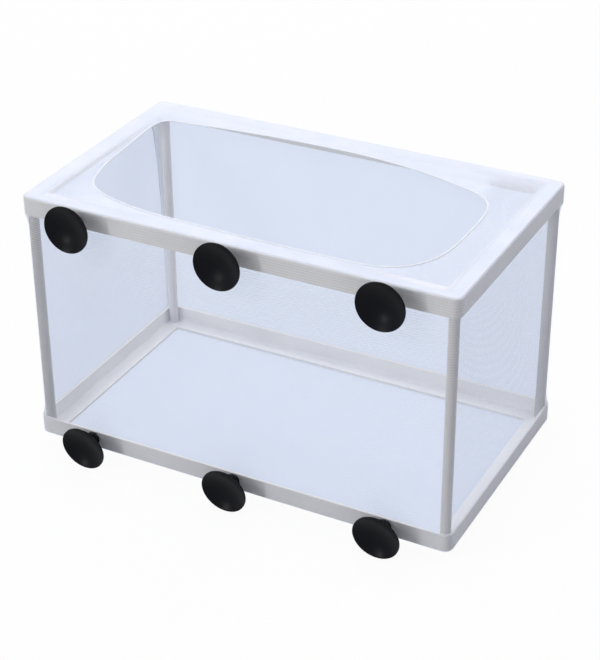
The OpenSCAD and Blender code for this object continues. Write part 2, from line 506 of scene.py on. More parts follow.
@dataclass(frozen=True)
class FoldedNet(Finish):
    """Net folded over itself and pressed: the same threads, much closer.

    Where the mesh's fullness attribute is 1, it is the fold itself, closed as denser net and
    painted darker: painted shade along the fold.
    """

    colour: Triple = WHITE
    shade: Triple = (0.9, 0.94, 1.0)
    fold: Triple = (0.60, 0.64, 0.76)
    thread_gap: float = 0.21 * MM
    slant: float = 0.4
    closed: float = 0.2
    blur: float = 0.2
    least: float = 0.04
    most: float = 0.97
    fold_cover: float = 0.7
    speckles_per_m: float = 1500.0
    relief: float = 0.05 * MM

    def inputs(self, tree: NodeMaker) -> dict[str, Any]:
        """Makes the shader's inputs.

        Args:
            tree: The material's nodes.

        Returns:
            Values and links by input.
        """
        u, v = tree.weave()
        one = (u / self.thread_gap).zigzag(1.0)
        other = ((v + self.slant * u) / self.thread_gap).zigzag(1.0)
        yarn = one.larger(other)
        speckle = tree.noise(tree.place(), self.speckles_per_m)
        opens = 1.0 - self.closed
        cover = (yarn * 0.7 + speckle * 0.5).step(opens - self.blur, opens + self.blur)
        # painted shade: darker between the threads, where the bump is low, with a random speckle
        tone = (yarn * 0.4 + speckle * 0.6).step(0.3, 0.8)
        # the fold: closed, and painted darker as shade
        edge = tree.attribute(FULLNESS)
        alpha = (cover * (self.most - self.least) + self.least).larger(edge * self.fold_cover)
        cloth = tree.mix(tone, self.shade, self.colour)
        return {
            "Base Color": tree.mix(edge, cloth, self.fold),
            "Roughness": 0.55 + 0.15 * speckle,
            "Alpha": alpha.held(),
            "Specular IOR Level": 0.3,
            "Sheen Weight": 0.2,
            "Normal": tree.bump(yarn, self.relief, 0.7),
        }


@dataclass(frozen=True)
class SewingThread(Finish):
    """Twisted polyester sewing thread."""

    colour: Triple = (0.95, 0.97, 1.0)
    shade: Triple = (0.80, 0.83, 0.90)
    ply: float = 0.16 * MM
    relief: float = 0.04 * MM

    def inputs(self, tree: NodeMaker) -> dict[str, Any]:
        """Makes the shader's inputs.

        Args:
            tree: The material's nodes.

        Returns:
            Values and links by input.
        """
        x, y, z = tree.parts(tree.place())
        # painted shade: the colour is darker between the plies, where the twist's bump is low
        twist = ((x + y * 0.8 + z * 1.3) * (TURN / self.ply)).wave()
        return {
            "Base Color": tree.mix(twist, self.shade, self.colour),
            "Roughness": 0.5 + 0.15 * twist,
            "Sheen Weight": 0.2,
            "Normal": tree.bump(twist, self.relief, 0.6),
        }


@dataclass(frozen=True)
class SoftRubber(Finish):
    """Matt black moulded rubber with a faint bloom."""

    colour: Triple = (0.0012, 0.0016, 0.0042)
    bloom: Triple = (0.004, 0.0045, 0.0076)
    roughness: float = 0.27
    specular: float = 0.09
    clouds_per_m: float = 130.0
    dust_per_m: float = 2400.0
    grains_per_m: float = 1800.0
    relief: float = 0.03 * MM

    def inputs(self, tree: NodeMaker) -> dict[str, Any]:
        """Makes the shader's inputs.

        Args:
            tree: The material's nodes.

        Returns:
            Values and links by input.
        """
        here = tree.place()
        cloud = tree.noise(here, self.clouds_per_m, 3.0)
        dust = tree.noise(here, self.dust_per_m, 2.0, 0.7).step(0.62, 0.78)
        tone = (cloud * 0.6 + dust * 0.4).held()
        return {
            "Base Color": tree.mix(tone, self.colour, self.bloom),
            "Roughness": self.roughness + 0.12 * cloud + 0.1 * dust,
            "Specular IOR Level": self.specular,
            "Normal": tree.bump(tree.noise(here, self.grains_per_m), self.relief, 0.4),
        }


@dataclass(frozen=True)
class CoveredElastic(Finish):
    """White elastic cord in its braided cover."""

    colour: Triple = (0.90, 0.91, 0.95)
    groove_shade: Triple = (0.66, 0.70, 0.80)
    braid: float = 0.5 * MM
    slant: float = 0.5
    relief: float = 0.06 * MM

    def inputs(self, tree: NodeMaker) -> dict[str, Any]:
        """Makes the shader's inputs.

        Args:
            tree: The material's nodes.

        Returns:
            Values and links by input.
        """
        u, v = tree.weave()
        one = ((u + v * self.slant) / self.braid).zigzag(1.0)
        other = ((u - v * self.slant) / self.braid).zigzag(1.0)
        strands = one.larger(other)
        return {
            # painted shade: darker in the grooves between the braid's strands
            "Base Color": tree.mix(strands, self.groove_shade, self.colour),
            "Roughness": 0.6 + 0.15 * strands,
            "Sheen Weight": 0.2,
            "Normal": tree.bump(strands, self.relief, 0.8),
        }


# Helpers for meshes


def add_object(name: str, data: Any) -> bpy.types.Object:
    """Makes an object and puts it in the scene.

    Args:
        name: The object's name.
        data: Its mesh, lamp or camera.

    Returns:
        The object, at the origin.
    """
    made = bpy.data.objects.new(name, data)
    bpy.context.scene.collection.objects.link(made)
    return made


def lengths(points: np.ndarray) -> np.ndarray:
    """Running length along a row of points, from 0."""
    steps = np.linalg.norm(np.diff(points, axis=0), axis=1)
    return np.concatenate([[0.0], np.cumsum(steps)])


def ramp(value: Any, start: float, run: float) -> Any:
    """Rises evenly from 0 at start to 1 after run, which is below 0 for a fall."""
    return np.clip((value - start) / run, 0.0, 1.0)


def blend(low: Any, high: Any, share: Any) -> Any:
    """Goes from low to high as the share goes from 0 to 1."""
    return low + (high - low) * share


@dataclass
class Surface:
    """Rows of points that make one sheet, closed across its columns or open."""

    name: str
    points: np.ndarray
    weave: np.ndarray
    wrapped: bool = False
    wrapped_rows: bool = False
    fullness: Optional[np.ndarray] = None
    ribs: Optional[np.ndarray] = None

    def build(self, material: bpy.types.Material) -> bpy.types.Object:
        """Makes the mesh object.

        Args:
            material: The sheet's finish.

        Returns:
            The object, with its UV map in metres.
        """
        rows, columns = self.points.shape[:2]
        across = columns if self.wrapped else columns - 1
        down = rows if self.wrapped_rows else rows - 1
        faces: list[tuple[int, int, int, int]] = []
        corners: list[Pair] = []
        for i in range(down):
            for j in range(across):
                k, m = (i + 1) % rows, (j + 1) % columns
                faces.append(
                    (i * columns + j, i * columns + m, k * columns + m, k * columns + j)
                )
                for a, b in ((i, j), (i, j + 1), (i + 1, j + 1), (i + 1, j)):
                    corners.append(tuple(self.weave[a, b]))
        mesh = bpy.data.meshes.new(self.name)
        mesh.from_pydata([tuple(p) for p in self.points.reshape(-1, 3)], [], faces)
        layer = mesh.uv_layers.new(name=WEAVE)
        layer.data.foreach_set("uv", np.array(corners, dtype=np.float32).ravel())
        for name, values in ((FULLNESS, self.fullness), (RIBS, self.ribs)):
            if values is not None:
                data = mesh.attributes.new(name, "FLOAT", "POINT").data
                data.foreach_set("value", values.astype(np.float32).ravel())
        mesh.polygons.foreach_set("use_smooth", [True] * len(mesh.polygons))
        mesh.materials.append(material)
        mesh.update()
        return add_object(self.name, mesh)


@dataclass
class Round:
    """A loop of columns round the box: straight runs joined by rounded corners."""

    sizes: BoxSizes
    long_steps: int = 56
    short_steps: int = 36
    corner_steps: int = 10
    crowding: float = 0.45
    reach: np.ndarray = field(init=False)
    facing: np.ndarray = field(init=False)
    sides: list[int] = field(init=False)

    def __post_init__(self) -> None:
        """Lays out the columns, counter-clockwise from the middle of the back left corner."""
        reach: list[Pair] = []
        facing: list[Pair] = []
        corners = [(-1, 1), (-1, -1), (1, -1), (1, 1)]
        steps = [self.short_steps, self.long_steps] * 2
        half = self.corner_steps // 2
        self.sides = []
        for side, normal in enumerate((180.0, 270.0, 0.0, 90.0)):
            start, end = corners[side], corners[(side + 1) % 4]
            self.sides.append(len(reach))
            turns = [normal - 45.0 + 45.0 * k / half for k in range(half)]
            reach += [start] * half
            for k in range(steps[side] + 1):
                even = k / steps[side]
                t = blend(even, 0.5 - 0.5 * math.cos(math.pi * even), self.crowding)
                reach.append(tuple(blend(a, b, t) for a, b in zip(start, end)))
                turns.append(normal)
            turns += [normal + 45.0 * k / half for k in range(1, half)]
            reach += [end] * (half - 1)
            for turn in map(math.radians, turns):
                facing.append((math.cos(turn), math.sin(turn)))
        self.reach = np.array(reach, dtype=float)
        self.facing = np.array(facing, dtype=float)

    def at(self, inset: Any, centre: float, z: float) -> np.ndarray:
        """Points of the loop.

        Args:
            inset: Distance inward from the rings' outer faces, one or one for each column.
            centre: Distance of the corners' centres from the outer faces.
            z: Height.

        Returns:
            One point for each column.
        """
        inset = np.broadcast_to(np.asarray(inset, dtype=float), len(self.reach))
        half = np.array([self.sizes.half_l, self.sizes.half_w])
        flat = self.reach * (half - centre) + self.facing * (centre - inset)[:, None]
        return np.column_stack([flat, np.full(len(flat), z)])

    def along(self) -> np.ndarray:
        """Running length round the loop, one more than the columns so that the last one closes."""
        loop = self.at(0.0, self.sizes.corner_r, 0.0)
        return lengths(np.vstack([loop, loop[:1]]))


# Net


@dataclass(frozen=True)
class TopCover:
    """How dense the net over the upper ring looks.

    It is densest over the ring's flange, dense where the elastic gathers it along the long
    sides, and more open at the ends.
    """

    rim: float = 0.92
    # painted light and shade: at the right end the net is denser over the flange, so that it looks
    # lighter, and more open on the margin, so that it looks darker
    rim_right: float = 0.99
    long_sides: float = 0.84
    ends: float = 0.47
    right_end: float = 0.30
    rim_w: float = 8 * MM
    rim_run: float = 3 * MM
    middle_x: float = -12 * MM
    ends_x: float = 70 * MM
    ends_run: float = 30 * MM
    ends_y: float = 65 * MM
    ends_fall: float = 60 * MM
    right_x: float = 88 * MM
    right_run: float = 14 * MM
    right_y: float = 72 * MM
    right_fall: float = 20 * MM

    def at(self, row: np.ndarray, reach: np.ndarray) -> np.ndarray:
        """The net's cover along a row of points.

        Args:
            row: The points.
            reach: Each point's distance from the panel's outer edge.

        Returns:
            The share of thread at each point.
        """
        x, y = row[:, 0], row[:, 1]
        right = ramp(x, self.right_x, self.right_run)
        end = ramp(np.abs(x - self.middle_x), self.ends_x, self.ends_run)
        end = end * ramp(y, self.ends_y, -self.ends_fall)
        end = np.maximum(end, right * ramp(y, self.right_y, -self.right_fall))
        # painted light and shade at the right end, through the net's cover
        margin = blend(self.long_sides, blend(self.ends, self.right_end, right), end)
        rim = blend(self.rim, self.rim_right, right)
        return blend(rim, margin, ramp(reach, self.rim_w, self.rim_run))


@dataclass
class NetBag:
    """The net sewn round the rings: a sleeve for the walls, a floor panel and a top panel."""

    sizes: BoxSizes
    hem: "OpeningHem"
    lift: float = 0.2 * MM
    post_pull: float = 1.8 * MM
    pull_run: float = 11 * MM
    pull_power: float = 2.2
    film_terms: int = 15
    film_points: int = 241
    floor_sag: float = 0.5 * MM
    sag_run: float = 25 * MM
    ring_rows: int = 4
    arc_rows: int = 5
    wall_rows: int = 40
    wall_crowding: float = 0.11
    top_rows: int = 24
    long_cover: float = 0.22
    end_cover: float = 0.34
    top_cover: TopCover = TopCover()
    floor_ribs: float = 0.15
    back_fade: float = 0.7
    left_share: float = 0.8
    front_fade: float = 0.6
    front_ribs_z: float = 100 * MM
    front_ribs_run: float = 35 * MM

    def __post_init__(self) -> None:
        """Lays out the columns that all three panels share."""
        self.round = Round(self.sizes)
        self.free = self.sizes.wall_foot_z - self.sizes.wall_top_z

    def _post_pull(self, height: Any) -> Any:
        """How far the net is drawn in on a post.

        Args:
            height: One or more heights above the lower ring's wall.

        Returns:
            The pull at each height.
        """
        near = np.minimum(height, self.free - height)
        return self.post_pull * (1.0 - (1.0 - ramp(near, 0.0, self.pull_run)) ** self.pull_power)

    def _reach_along(self) -> np.ndarray:
        """Place of each column along its side.

        Returns:
            From -1 to 1 on the straight runs, and 1 on the corners.
        """
        reach, facing = self.round.reach, self.round.facing
        to_x, to_y = (np.abs(facing[:, axis]) > STRAIGHT for axis in (0, 1))
        return np.where(to_x & to_y, 1.0, np.where(to_x, reach[:, 1], reach[:, 0]))

    def _wall_pull(self, height: float) -> np.ndarray:
        """How far each column of the stretched net is drawn in: a film held by rings and posts.

        Args:
            height: Height above the lower ring's wall.

        Returns:
            The pull at each column.
        """
        grid = np.linspace(0.0, self.free, self.film_points)
        shape = self._post_pull(grid)
        along = self._reach_along()
        straight = np.abs(along)
        facing = np.abs(self.round.facing)
        half = np.where(facing[:, 0] < facing[:, 1], self.sizes.half_l, self.sizes.half_w)
        half -= self.sizes.post_inset
        pull = np.zeros(len(along))
        for n in range(1, 2 * self.film_terms, 2):
            k = n * math.pi / self.free
            share = 2.0 * float(np.mean(shape * np.sin(k * grid)))
            fade = np.exp(k * half * (straight - 1.0)) + np.exp(-k * half * (straight + 1.0))
            fade /= 1.0 + np.exp(-2.0 * k * half)
            pull += share * math.sin(k * height) * fade
        post = float(self._post_pull(height))
        return np.where(along >= 1.0, post, np.clip(pull, 0.0, post))

    def _ring_rows(self, foot_z: float) -> list[np.ndarray]:
        """Loops of the sleeve on a ring's wall.

        Args:
            foot_z: The lowest loop's height.

        Returns:
            The loops upwards, the lowest one too.
        """
        s = self.sizes
        high = s.rail_h - s.edge_r
        heights = [foot_z + high * k / self.ring_rows for k in range(self.ring_rows + 1)]
        return [self.round.at(-self.lift, s.corner_r, z) for z in heights]

    def _sleeve_rows(self) -> list[np.ndarray]:
        """Loops of the sleeve from the floor's edge to the top panel's edge.

        Returns:
            The loops upwards.
        """
        s = self.sizes
        arc = s.edge_r + self.lift
        turns = [math.pi / 2 * k / self.arc_rows for k in range(self.arc_rows + 1)]
        rows: list[np.ndarray] = []
        for turn in turns:
            z = s.lower_z + s.edge_r - arc * math.cos(turn)
            rows.append(self.round.at(s.edge_r - arc * math.sin(turn), s.corner_r, z))
        rows += self._ring_rows(s.lower_z + s.edge_r)[1:]
        for k in range(1, self.wall_rows):
            t = k / self.wall_rows
            height = self.free * (t - self.wall_crowding * math.sin(2.0 * math.pi * t))
            post = float(self._post_pull(height))
            centre = blend(s.corner_r, s.post_inset, post / self.post_pull)
            pull = self._wall_pull(height)
            rows.append(self.round.at(pull - self.lift, centre, s.wall_top_z + height))
        rows += self._ring_rows(s.wall_foot_z)
        for turn in turns[1:]:
            z = s.upper_z - s.edge_r + arc * math.sin(turn)
            rows.append(self.round.at(s.edge_r - arc * math.cos(turn), s.corner_r, z))
        return rows

    def sleeve(self, material: bpy.types.Material) -> bpy.types.Object:
        """The walls: one sleeve drawn over both rings and in to the posts.

        Args:
            material: The net.

        Returns:
            The sleeve.
        """
        rows = np.array(self._sleeve_rows())
        up = lengths(rows[:, len(self.round.reach) // 8])
        weave = np.stack(np.meshgrid(self.round.along(), up), axis=-1)
        x, y = self.round.facing.T
        end, left = np.abs(x) ** 2, np.clip(-x, 0.0, 1.0) ** 2
        back, front = (np.clip(way * y, 0.0, 1.0) ** 2 for way in (1, -1))
        full = np.broadcast_to(blend(self.long_cover, self.end_cover, end), rows.shape[:2])
        high = ramp(rows[:, :, 2], self.front_ribs_z, self.front_ribs_run)
        ribs = 1.0 - self.back_fade * (back + self.left_share * left)
        ribs = ribs * (1.0 - self.front_fade * front * (1.0 - high))
        made = Surface("net_sleeve", rows, weave, wrapped=True, fullness=full, ribs=ribs)
        return made.build(material)

    def top_panel(self, material: bpy.types.Material) -> bpy.types.Object:
        """The net over the upper ring, gathered by the elastic in its hem.

        Args:
            material: The net.

        Returns:
            The top panel.
        """
        s = self.sizes
        outer = self.round.at(s.edge_r, s.corner_r, s.upper_z + self.lift)
        inner = self.hem.facing_points(outer)
        rows, full = [], []
        for k in range(self.top_rows + 1):
            t = k / self.top_rows
            row = outer * (1.0 - t) + inner * t
            row[:, 2] = s.upper_z + self.lift
            rows.append(row)
            full.append(self.top_cover.at(row, np.linalg.norm((row - outer)[:, :2], axis=1)))
        points = np.array(rows)
        weave = np.concatenate([points, points[:, :1]], axis=1)[:, :, :2]
        made = Surface("net_top_panel", points, weave, wrapped=True, fullness=np.array(full))
        return made.build(material)

    def floor_panel(self, material: bpy.types.Material) -> bpy.types.Object:
        """The net under the lower ring.

        Args:
            material: The net.

        Returns:
            The floor panel.
        """
        s = self.sizes
        edge = self.round.at(s.edge_r, s.corner_r, s.lower_z - self.lift)
        marks = self.round.sides + [len(edge)]
        loop = np.vstack([edge, edge[:1]])
        left, front, right, back = (loop[marks[k] : marks[k + 1] + 1] for k in range(4))
        back, left = back[::-1], left[::-1]
        u = np.linspace(0.0, 1.0, len(front))[None, :, None]
        v = np.linspace(0.0, 1.0, len(right))[:, None, None]
        sides = (1 - v) * front[None] + v * back[None]
        sides = sides + (1 - u) * left[:, None] + u * right[:, None]
        ties = (1 - u) * (1 - v) * front[0] + u * (1 - v) * front[-1]
        ties = ties + (1 - u) * v * back[0] + u * v * back[-1]
        points = sides - ties
        inside_x = np.clip(s.half_l - s.flange_w - np.abs(points[:, :, 0]), 0, None)
        inside_y = np.clip(s.half_w - s.flange_w - np.abs(points[:, :, 1]), 0, None)
        bowl = (1 - np.exp(-inside_x / self.sag_run)) * (1 - np.exp(-inside_y / self.sag_run))
        points[:, :, 2] -= self.floor_sag * bowl
        full = np.full(points.shape[:2], self.long_cover)
        ribs = np.full(points.shape[:2], self.floor_ribs)
        weave = points[:, :, :2].copy()
        made = Surface("net_floor_panel", points, weave, fullness=full, ribs=ribs)
        return made.build(material)


# Opening


@dataclass
class OpeningHem:
    """The elastic's route round the opening, and the hem folded over it."""

    sizes: BoxSizes
    front: float = 12.5 * MM
    back: float = 18.3 * MM
    left: float = 17.5 * MM
    right: float = 25 * MM
    elastic_r: float = 0.5 * MM
    hem_r: float = 0.55 * MM
    flatness: float = 0.7
    hold: float = 0.9
    band_sides: int = 12
    band_square: float = 0.9
    cord_sides: int = 8
    steps: int = 22

    def __post_init__(self) -> None:
        """Lays the route through the construction model's own points."""
        knots = np.array(self._knots())
        before, after, beyond = (np.roll(knots, k, axis=0)[:, None] for k in (1, -1, -2))
        here = knots[:, None]
        t = (np.arange(self.steps) / self.steps)[None, :, None]
        bend = 2 * before - 5 * here + 4 * after - beyond
        twist = 3 * here - before - 3 * after + beyond
        curve = 0.5 * (2 * here + (after - before) * t + bend * t * t + twist * t**3)
        self.curve = curve.reshape(-1, 2)
        ahead = np.roll(self.curve, -1, axis=0) - np.roll(self.curve, 1, axis=0)
        ahead /= np.linalg.norm(ahead, axis=1)[:, None]
        self.outward = np.column_stack([ahead[:, 1], -ahead[:, 0]])
        self.z = self.sizes.upper_z + self.sizes.net_t / 2

    def _knots(self) -> list[Pair]:
        """The points that the elastic passes through.

        Returns:
            The points in plan, counter-clockwise from the front left.
        """
        s = self.sizes
        x0, x1 = -s.half_l + self.left, s.half_l - self.right
        y0, y1 = -s.half_w + self.front, s.half_w - self.back
        return [
            (x0 + 14.5 * MM, y0 + 15.5 * MM),
            (x0 + 46.5 * MM, y0 + 4 * MM),
            (-s.ring_l * 0.077, y0 + 0.7 * MM),
            (s.ring_l * 0.14, y0),
            (x1 - 26 * MM, y0 + 2.4 * MM),
            (x1 - 5 * MM, y0 + 20.7 * MM),
            (x1, -s.ring_w * 0.06),
            (x1 - 4.2 * MM, y1 - 26.6 * MM),
            (x1 - 31.7 * MM, y1 - 11.4 * MM),
            (s.ring_l * 0.097, y1 - 0.7 * MM),
            (-s.ring_l * 0.145, y1),
            (x0 + 21.2 * MM, y1 - 4.9 * MM),
            (x0, y1 - 11 * MM),
            (x0 + 0.1 * MM, s.ring_w * 0.078),
            (x0 + 3.8 * MM, y0 + 38.5 * MM),
        ]

    def _turn(self, points: np.ndarray) -> np.ndarray:
        """Direction of points from the box's middle, as if the box were square.

        Args:
            points: The points.

        Returns:
            One angle for each point, from 0 to a full turn.
        """
        s = self.sizes
        return np.arctan2(points[:, 1] / s.half_w, points[:, 0] / s.half_l) % (2 * math.pi)

    def facing_points(self, outer: np.ndarray) -> np.ndarray:
        """The point of the hem's outer edge that each column of a loop is drawn to.

        Args:
            outer: The loop's points.

        Returns:
            One point for each column.
        """
        edge = self.curve + self.outward * self.hem_r * self.hold
        turn = self._turn(edge)
        order = np.argsort(turn)
        want, full_turn = self._turn(outer), 2 * math.pi
        x, y = (
            np.interp(want, turn[order], edge[order, axis], period=full_turn) for axis in (0, 1)
        )
        return np.column_stack([x, y, np.full(len(x), self.z)])

    def _tube(self, name: str, wide: float, sides: int, square: float = 1.0) -> Surface:
        """A closed, flattened tube along the route.

        Args:
            name: The piece's name.
            wide: Half of its width.
            sides: Number of sides.
            square: 1 for an ellipse, less for a squarer section.

        Returns:
            The tube's surface.
        """
        turns = 2 * math.pi * np.arange(sides) / sides
        way = np.column_stack([np.cos(turns), np.sin(turns)])
        section = np.sign(way) * np.abs(way) ** square * [wide, wide * self.flatness]
        across, up = section.T
        flat = self.curve[:, None, :] + self.outward[:, None, :] * across[None, :, None]
        z = np.broadcast_to(self.z + up, flat.shape[:2])
        points = np.concatenate([flat, z[:, :, None]], axis=2)
        runs = (lengths(np.vstack([line, line[:1]])) for line in (self.curve, section))
        weave = np.stack(np.meshgrid(*runs, indexing="ij"), axis=-1)
        return Surface(name, points, weave, wrapped=True, wrapped_rows=True)

    def band(self, material: bpy.types.Material) -> bpy.types.Object:
        """The hem folded over the elastic."""
        made = self._tube("opening_hem_band", self.hem_r, self.band_sides, self.band_square)
        return made.build(material)

    def elastic(self, material: bpy.types.Material) -> bpy.types.Object:
        """The elastic in the hem."""
        made = self._tube("opening_elastic_cord", self.elastic_r, self.cord_sides)
        return made.build(material)

    def line(self, away: float, rise: float) -> np.ndarray:
        """A line along the hem.

        Args:
            away: Distance outward from the elastic's middle.
            rise: Distance above it.

        Returns:
            The line's points, closed on its start.
        """
        flat = self.curve + self.outward * away
        points = np.column_stack([flat, np.full(len(flat), self.z + rise)])
        return np.vstack([points, points[:1]])


# Sewing


@dataclass(frozen=True)
class StitchRow:
    """A row of stitches along a line, made with Geometry Nodes."""

    name: str
    spacing: float
    length: float
    thread_r: float

    def _tree(self, material: bpy.types.Material) -> bpy.types.GeometryNodeTree:
        """Builds the node tree.

        Args:
            material: The thread.

        Returns:
            The tree, with its sizes as named inputs.
        """
        tree = bpy.data.node_groups.new(self.name + "_tree", "GeometryNodeTree")
        face = tree.interface
        for way in ("INPUT", "OUTPUT"):
            face.new_socket("Geometry", in_out=way, socket_type="NodeSocketGeometry")
        for label in ("Spacing", "Length", "Thread"):
            face.new_socket(label, in_out="INPUT", socket_type="NodeSocketFloat")
        nodes = NodeMaker(tree)
        given = nodes.add("NodeGroupInput").outputs
        curve = nodes.add("GeometryNodeMeshToCurve", {"Mesh": given["Geometry"]})
        spots = nodes.add(
            "GeometryNodeCurveToPoints",
            {"Curve": curve.outputs[0], "Length": given["Spacing"]},
            mode="LENGTH",
        )
        bead = nodes.add("GeometryNodeMeshUVSphere", {"Segments": 6, "Rings": 4, "Radius": 1.0})
        half_length = Num(nodes, given["Length"]) * 0.5
        size = nodes.add(
            "ShaderNodeCombineXYZ", {"X": given["Thread"], "Y": given["Thread"], "Z": half_length}
        )
        placed = nodes.add(
            "GeometryNodeInstanceOnPoints",
            {
                "Points": spots.outputs["Points"],
                "Instance": bead.outputs["Mesh"],
                "Rotation": spots.outputs["Rotation"],
                "Scale": size.outputs[0],
            },
        )
        real = nodes.add("GeometryNodeRealizeInstances", {"Geometry": placed.outputs[0]})
        dressed = nodes.add(
            "GeometryNodeSetMaterial", {"Geometry": real.outputs[0], "Material": material}
        )
        nodes.add("NodeGroupOutput", {0: dressed.outputs[0]})
        return tree

    def sew(self, line: np.ndarray, material: bpy.types.Material) -> bpy.types.Object:
        """Sews the row.

        Args:
            line: Points of the line, in metres.
            material: The thread.

        Returns:
            The row as one plain mesh.
        """
        path = bpy.data.meshes.new(self.name + "_line")
        edges = [(k, k + 1) for k in range(len(line) - 1)]
        path.from_pydata([tuple(p) for p in line], edges, [])
        guide = add_object(self.name + "_guide", path)
        modifier = guide.modifiers.new("stitches", "NODES")
        modifier.node_group = self._tree(material)
        sizes = {"Spacing": self.spacing, "Length": self.length, "Thread": self.thread_r}
        for item in modifier.node_group.interface.items_tree:
            if item.in_out == "INPUT" and item.name in sizes:
                modifier[item.identifier] = sizes[item.name]
        graph = bpy.context.evaluated_depsgraph_get()
        mesh = bpy.data.meshes.new_from_object(guide.evaluated_get(graph))
        mesh.name = self.name
        if not mesh.materials:
            mesh.materials.append(material)
        mesh.polygons.foreach_set("use_smooth", [True] * len(mesh.polygons))
        made = add_object(self.name, mesh)
        bpy.data.objects.remove(guide)
        return made


@dataclass
class CornerSeam:
    """The bag's own seam: its folded allowance lies on the left wall beside the back post."""

    sizes: BoxSizes
    top_w: float = 10.5 * MM
    foot_w: float = 2.2 * MM
    flare: float = 0.30
    root: float = 2 * MM
    thick: float = 0.8 * MM
    belly: float = 0.9
    sewn: float = 0.97
    ripple: float = 0.25 * MM
    ripple_turns: Pair = (0.9, 0.37)
    gap: float = 0.2 * MM
    rows: int = 60
    columns: int = 8

    def __post_init__(self) -> None:
        """Places the flap's root beside the post."""
        self.root_y = self.sizes.half_w - self.sizes.corner_r + self.root

    def _edge(self, share: float) -> Pair:
        """The flap's height and width.

        Args:
            share: Place along the flap, 0 at its foot and 1 at its top.

        Returns:
            Height and width, in metres.
        """
        low, high = self.sizes.wall_top_z + self.gap, self.sizes.wall_foot_z - self.gap
        wide = math.exp((share - 1.0) / self.flare)
        return blend(low, high, share), blend(self.foot_w, self.top_w, wide)

    def _wall_x(self, y: float) -> float:
        """The net's inner side at a place along the wall, round the corner too.

        Args:
            y: The place.

        Returns:
            The net's place across the wall.
        """
        s = self.sizes
        over = max(0.0, y - (s.half_w - s.corner_r))
        return -s.half_l + s.corner_r - math.sqrt(s.corner_r**2 - over**2)

    def flap(self, material: bpy.types.Material) -> bpy.types.Object:
        """The folded allowance, a flat closed tube that narrows downwards.

        Args:
            material: The folded net.

        Returns:
            The flap.
        """
        points, weave, fold = [], [], []
        for k in range(self.rows + 1):
            z, width = self._edge(k / self.rows)
            ripple = self.ripple * math.prod(math.sin(k * turn) for turn in self.ripple_turns)
            row, marks, folds = [], [], []
            for j in range(2 * self.columns):
                t = j / self.columns
                place, face = (t, 1.0) if t <= 1.0 else (2.0 - t, -1.0)
                bulge = self.belly * math.sin(math.pi * place) ** 0.5
                depth = self.thick * 0.5 * (1.0 + face * bulge)
                y = self.root_y - width * place + ripple * place
                row.append((self._wall_x(y) + depth, y, z))
                marks.append((width * t, z))
                # marks the fold, which the finish closes and paints darker as shade
                folds.append(1.0 if abs(t - 1.0) < 0.5 / self.columns else 0.0)
            points.append(row)
            weave.append(marks + [(width * 2.0, z)])
            fold.append(folds)
        rows, marks, full = (np.array(part) for part in (points, weave, fold))
        made = Surface("corner_seam_flap", rows, marks, wrapped=True, fullness=full)
        return made.build(material)

    def line(self, from_edge: float) -> np.ndarray:
        """A sewing line on the flap's inner face.

        Args:
            from_edge: Distance from the flap's free edge, as a share of its width.

        Returns:
            The line's points.
        """
        points = []
        for k in range(self.rows + 1):
            z, width = self._edge(k / self.rows)
            y = self.root_y - width * (1.0 - from_edge)
            points.append((self._wall_x(y) + self.thick * self.sewn, y, z))
        return np.array(points)


# Rigid pieces


class PostTone(Enum):
    """The posts' plastic in three tones, each with a colour and a shade: one plain, one painted
    lighter as painted light, and one painted darker as painted shade.
    """

    WHITE = ((0.68, 0.655, 0.64), (0.63, 0.605, 0.59))
    LIT = ((0.84, 0.84, 0.88), (0.79, 0.79, 0.83))
    GREY = ((0.52, 0.505, 0.50), (0.48, 0.465, 0.46))

    def make(self) -> bpy.types.Material:
        """Builds the tone's plastic, drawn out along the tube.

        Returns:
            The finished material.
        """
        colour, shade = self.value
        name = f"post_tube_{self.name.lower()}"
        return MouldedPlastic(name, colour, shade, roughness=0.34, flow=(1.0, 1.0, 0.1)).make()


@dataclass
class RigidFrame:
    """The two rings and the four posts, which keep their construction solids."""

    rings: tuple[str, ...] = ("lower_ring", "upper_ring")
    # painted light and shade: the back left post's plastic is painted lighter, the front left and
    # back right posts' plastic darker
    posts: tuple[tuple[str, PostTone], ...] = (
        ("post_front_left", PostTone.GREY),
        ("post_front_right", PostTone.WHITE),
        ("post_back_left", PostTone.LIT),
        ("post_back_right", PostTone.GREY),
    )

    def dress(self) -> None:
        """Gives the rings and posts their plastics."""
        repaint(RingPlastic("ring_plastic_satin_white").make(), *self.rings)
        for tone in PostTone:
            repaint(tone.make(), *(name for name, wanted in self.posts if wanted is tone))


@dataclass
class SuctionCups:
    """The six rubber suction cups on the front rails."""

    rows: tuple[str, ...] = ("upper", "lower")
    places: tuple[str, ...] = ("left", "middle", "right")

    def dress(self) -> None:
        """Gives the cups their rubber."""
        names = [f"cup_{row}_{place}" for row in self.rows for place in self.places]
        repaint(SoftRubber("cup_rubber_black").make(), *names)


def repaint(material: bpy.types.Material, *nodes: str) -> None:
    """Puts a finish on construction nodes.

    Args:
        material: The finish.
        nodes: The nodes' names.
    """
    for node in nodes:
        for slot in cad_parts[node].material_slots:
            slot.material = material
        LOG.info("%s: %s", node, material.name)


# Studio


def direction(turn: float, rise: float) -> Vector:
    """The way out of the box at a turn from the front and a rise, in degrees."""
    a, e = math.radians(turn), math.radians(rise)
    return Vector((math.sin(a) * math.cos(e), -math.cos(a) * math.cos(e), math.sin(e)))


